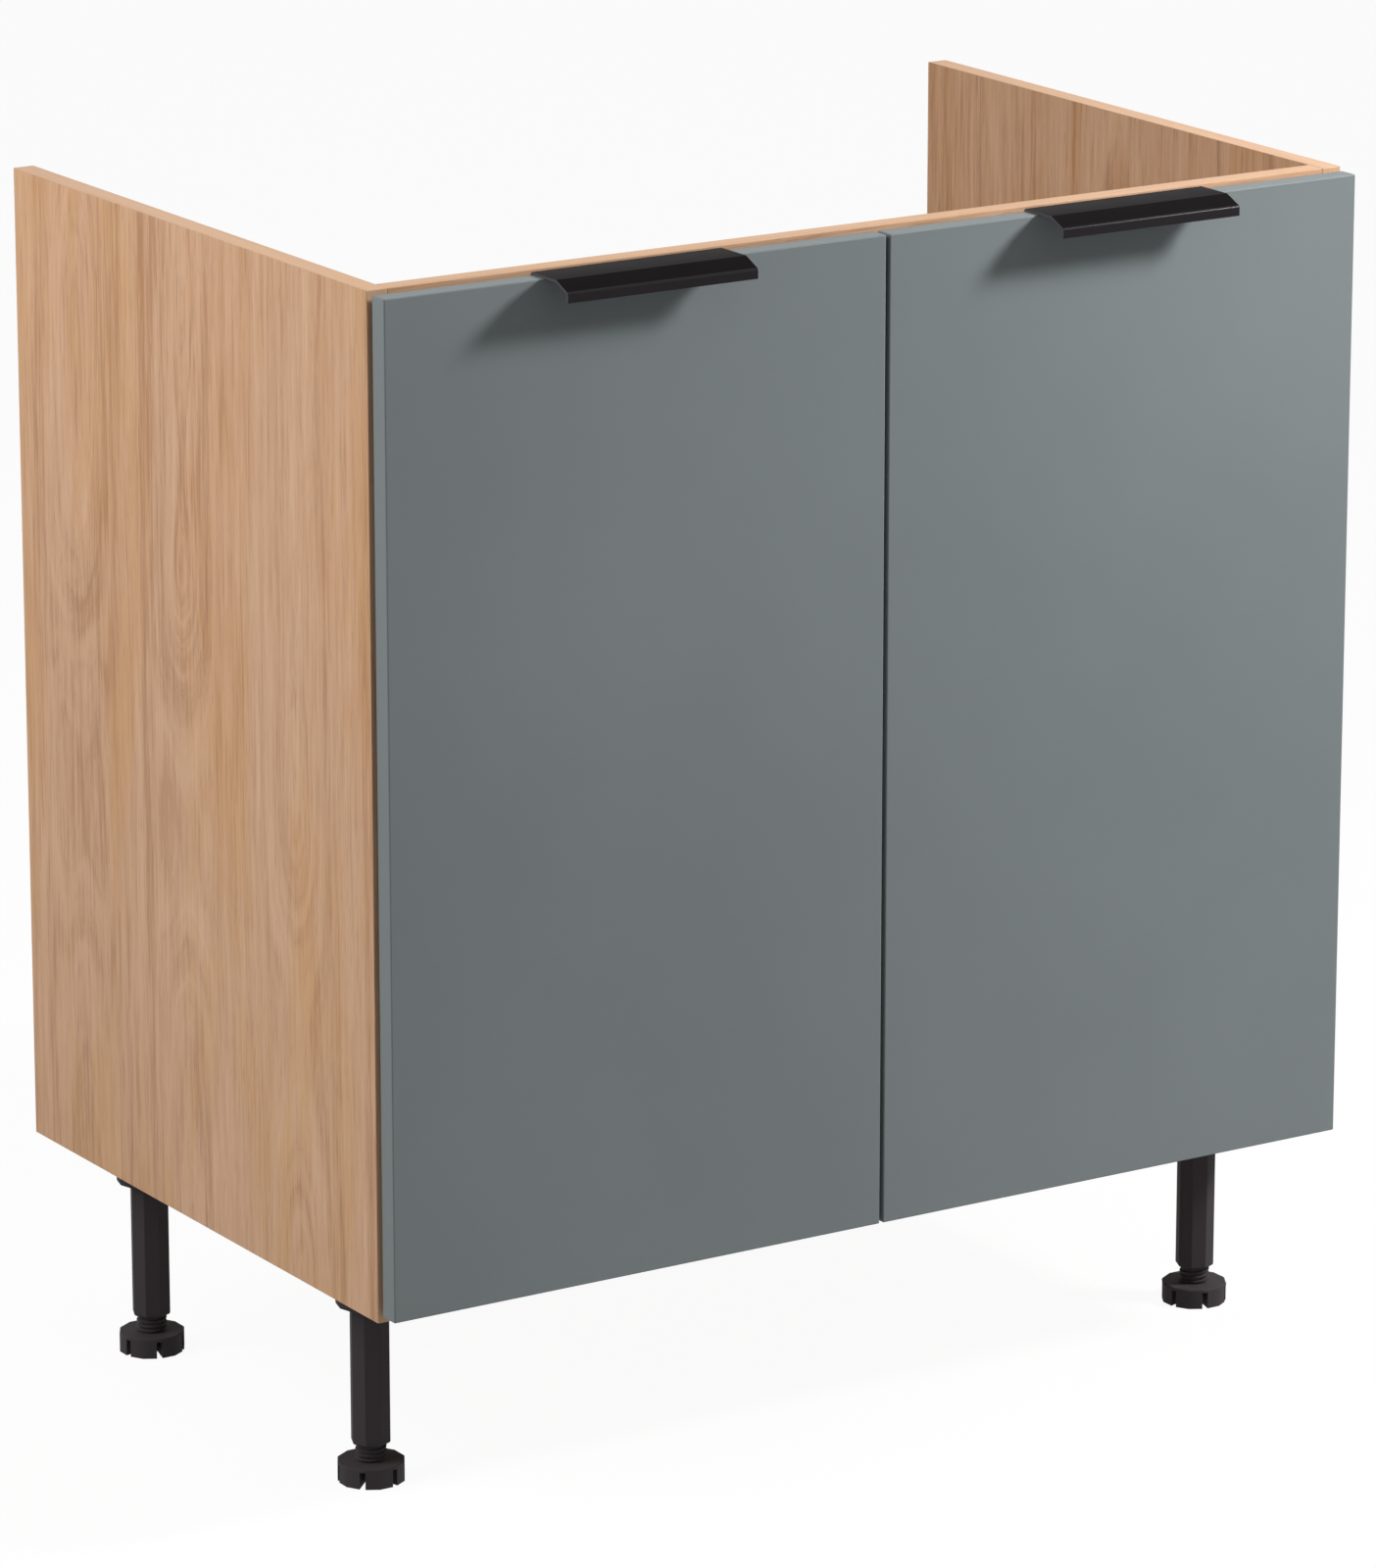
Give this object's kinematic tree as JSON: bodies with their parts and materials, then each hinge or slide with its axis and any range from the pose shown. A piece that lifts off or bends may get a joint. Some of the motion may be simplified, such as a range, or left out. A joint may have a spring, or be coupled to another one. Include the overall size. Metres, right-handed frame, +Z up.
{
  "type": "sink base cabinet",
  "caption": "Sink base cabinet: open-topped oak-decor carcass on adjustable screw legs, with grey-green hinged doors and black hooked edge-pull handles.",
  "frame": {"origin": "on the floor, under the middle of the overall box, handles included", "axes": "+X to the right as seen from the doors, +Y towards the wall, +Z up"},
  "size_m": [0.8, 0.55, 0.87],
  "materials": {
    "oak_board": "light oak decor, matt",
    "door_lacquer": "grey-green matt lacquer",
    "handle_black": "black gloss coating",
    "leg_plastic": "black moulded",
    "hinge_nickel": "nickel plated",
    "screw_steel": "zinc plated",
    "cam_zinc": "zinc die-cast",
    "dowel_beech": "plain beech",
    "bumper_rubber": "soft clear grey"
  },
  "bodies": {
    "carcass": {"bottom_panel": "oak_board", "cam_bolts": "cam_zinc", "cam_locks": "cam_zinc", "carcass_dowels": "dowel_beech", "front_left_leg_socket": "leg_plastic", "front_left_leg_tube": "leg_plastic", "front_rail": "oak_board", "front_right_leg_socket": "leg_plastic", "front_right_leg_tube": "leg_plastic", "hinge_arm_screws": "screw_steel", "hinge_plate_screws": "screw_steel", "left_lower_hinge_arm": "hinge_nickel", "left_lower_hinge_plate": "hinge_nickel", "left_side_panel": "oak_board", "left_upper_hinge_arm": "hinge_nickel", "left_upper_hinge_plate": "hinge_nickel", "leg_socket_screws": "screw_steel", "rear_left_leg_socket": "leg_plastic", "rear_left_leg_tube": "leg_plastic", "rear_rail": "oak_board", "rear_right_leg_socket": "leg_plastic", "rear_right_leg_tube": "leg_plastic", "right_lower_hinge_arm": "hinge_nickel", "right_lower_hinge_plate": "hinge_nickel", "right_side_panel": "oak_board", "right_upper_hinge_arm": "hinge_nickel", "right_upper_hinge_plate": "hinge_nickel"},
    "left_door": {"left_door": "door_lacquer", "left_door_bumpers": "bumper_rubber", "left_handle": "handle_black", "left_handle_screws": "screw_steel", "left_hinge_cup_screws": "screw_steel", "left_lower_hinge_cup": "hinge_nickel", "left_lower_hinge_pin": "hinge_nickel", "left_upper_hinge_cup": "hinge_nickel", "left_upper_hinge_pin": "hinge_nickel"},
    "right_door": {"right_door": "door_lacquer", "right_door_bumpers": "bumper_rubber", "right_handle": "handle_black", "right_handle_screws": "screw_steel", "right_hinge_cup_screws": "screw_steel", "right_lower_hinge_cup": "hinge_nickel", "right_lower_hinge_pin": "hinge_nickel", "right_upper_hinge_cup": "hinge_nickel", "right_upper_hinge_pin": "hinge_nickel"},
    "front_left_foot": {"front_left_leg_foot": "leg_plastic"},
    "front_right_foot": {"front_right_leg_foot": "leg_plastic"},
    "rear_left_foot": {"rear_left_leg_foot": "leg_plastic"},
    "rear_right_foot": {"rear_right_leg_foot": "leg_plastic"}
  },
  "joints": [
    {"name": "left_door_swing", "type": "hinge", "parent": "carcass", "child": "left_door", "pos_m": [-0.39046, -0.2375, 0.5115], "axis": [0, 0, -1], "range_deg": [0, 95]},
    {"name": "right_door_swing", "type": "hinge", "parent": "carcass", "child": "right_door", "pos_m": [0.39046, -0.2375, 0.5115], "axis": [0, 0, 1], "range_deg": [0, 95]},
    {"name": "front_left_foot_screw", "type": "slide", "parent": "carcass", "child": "front_left_foot", "axis": [0, 0, 1], "range_m": [-0.02, 0.01]},
    {"name": "front_right_foot_screw", "type": "slide", "parent": "carcass", "child": "front_right_foot", "axis": [0, 0, 1], "range_m": [-0.02, 0.01]},
    {"name": "rear_left_foot_screw", "type": "slide", "parent": "carcass", "child": "rear_left_foot", "axis": [0, 0, 1], "range_m": [-0.02, 0.01]},
    {"name": "rear_right_foot_screw", "type": "slide", "parent": "carcass", "child": "rear_right_foot", "axis": [0, 0, 1], "range_m": [-0.02, 0.01]}
  ]
}
